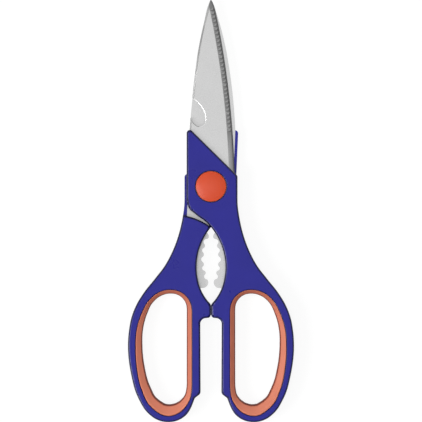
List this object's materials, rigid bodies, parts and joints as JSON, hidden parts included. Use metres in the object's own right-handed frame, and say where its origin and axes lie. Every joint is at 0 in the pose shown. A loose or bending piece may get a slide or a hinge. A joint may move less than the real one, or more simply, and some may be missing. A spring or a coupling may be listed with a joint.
{
  "type": "kitchen shears",
  "caption": "Kitchen shears with serrated steel blades, bottle-opener notch, toothed nutcracker jaw, moulded handles with soft finger grips and a capped pivot.",
  "frame": {"origin": "on the pivot axis, at the outer face of the rear cap, which lies on the same plane as the back of both handles", "axes": "+Y from the pivot to the blade tips, +Z along the pivot axis towards the serrated front blade, +X to the right seen from the front"},
  "size_m": [0.0844, 0.2149, 0.0126],
  "materials": {
    "blade_steel": "satin ground, bright along the bevel",
    "handle_plastic": "smooth satin moulding",
    "grip_rubber": "soft matt overmoulding",
    "cap_plastic": "semi-gloss moulding",
    "pivot_steel": "turned"
  },
  "bodies": {
    "rear_half": {"rear_blade": "blade_steel", "rear_handle": "handle_plastic", "rear_grip": "grip_rubber", "rear_cap": "cap_plastic", "pivot_barrel": "pivot_steel", "pivot_screw": "pivot_steel", "spring_washer": "pivot_steel"},
    "front_half": {"front_blade": "blade_steel", "front_handle": "handle_plastic", "front_grip": "grip_rubber", "front_cap": "cap_plastic"}
  },
  "joints": [
    {"name": "blade_pivot", "type": "hinge", "parent": "rear_half", "child": "front_half", "pos_m": [0, 0, 0.006], "axis": [0, 0, 1], "range_deg": [0, 80]}
  ]
}
